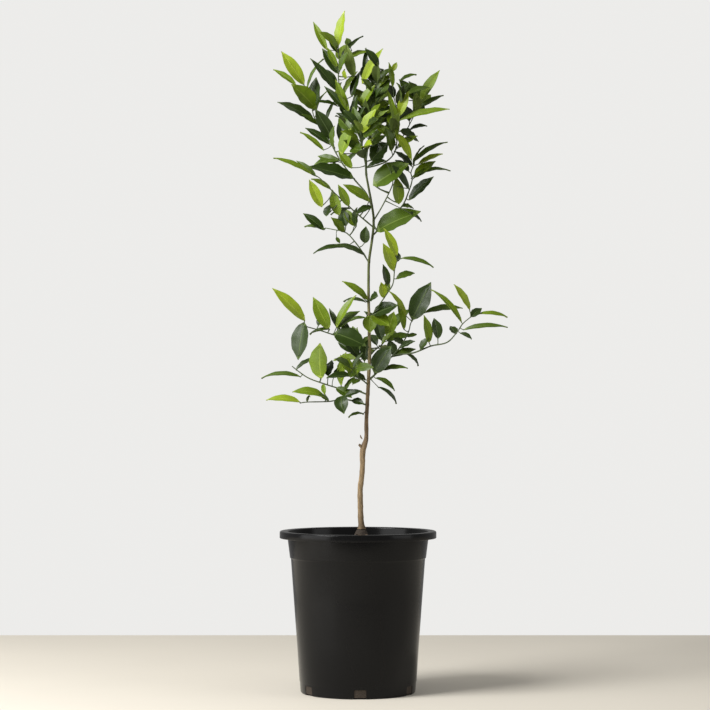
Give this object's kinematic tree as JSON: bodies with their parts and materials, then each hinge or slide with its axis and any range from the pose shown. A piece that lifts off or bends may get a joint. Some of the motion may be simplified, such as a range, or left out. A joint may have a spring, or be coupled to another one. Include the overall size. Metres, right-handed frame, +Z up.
{
  "type": "potted tangerine tree",
  "caption": "Young grafted tangerine tree with a slim bare stem and an open leafy crown, standing in a round black nursery pot of potting mix.",
  "frame": {"origin": "centre of the pot's flat underside", "axes": "+Z up along the stem, +X to the right and -Y towards the viewer of the front"},
  "size_m": [0.444, 0.28, 1.22],
  "materials": {
    "pot": "satin",
    "soil": "matte",
    "bark": "matte",
    "shoot": "matte",
    "foliage": "satin"
  },
  "bodies": {
    "root": {"bough_crown_back": "shoot", "bough_crown_front": "shoot", "bough_crown_left": "shoot", "bough_crown_right": "shoot", "bough_fan_left": "shoot", "bough_high_left": "shoot", "bough_high_right_back": "shoot", "bough_high_right_front": "shoot", "bough_low_back": "shoot", "bough_low_front": "shoot", "bough_low_left_back": "shoot", "bough_low_left_front": "shoot", "bough_low_right": "shoot", "bough_low_right_rise": "shoot", "bough_mid_left": "shoot", "bough_mid_right": "shoot", "foliage_crown_back": "foliage", "foliage_crown_centre": "foliage", "foliage_crown_front": "foliage", "foliage_crown_left_low": "foliage", "foliage_crown_left_mid": "foliage", "foliage_crown_left_outer": "foliage", "foliage_crown_right_mid": "foliage", "foliage_crown_right_outer": "foliage", "foliage_crown_right_upper": "foliage", "foliage_crown_top": "foliage", "foliage_fan_left": "foliage", "foliage_high_left": "foliage", "foliage_high_right_front": "foliage", "foliage_low_back": "foliage", "foliage_low_front": "foliage", "foliage_low_left_back": "foliage", "foliage_low_left_front": "foliage", "foliage_low_right_inner": "foliage", "foliage_low_right_mid": "foliage", "foliage_low_right_rise": "foliage", "foliage_low_right_tip": "foliage", "foliage_mid_left_high": "foliage", "foliage_mid_left_inner": "foliage", "foliage_mid_left_outer": "foliage", "foliage_mid_right_high": "foliage", "foliage_mid_right_low": "foliage", "foliage_right_broad": "foliage", "leader": "shoot", "pot": "pot", "soil": "soil", "soil_collar": "soil", "trunk": "bark"}
  },
  "joints": []
}
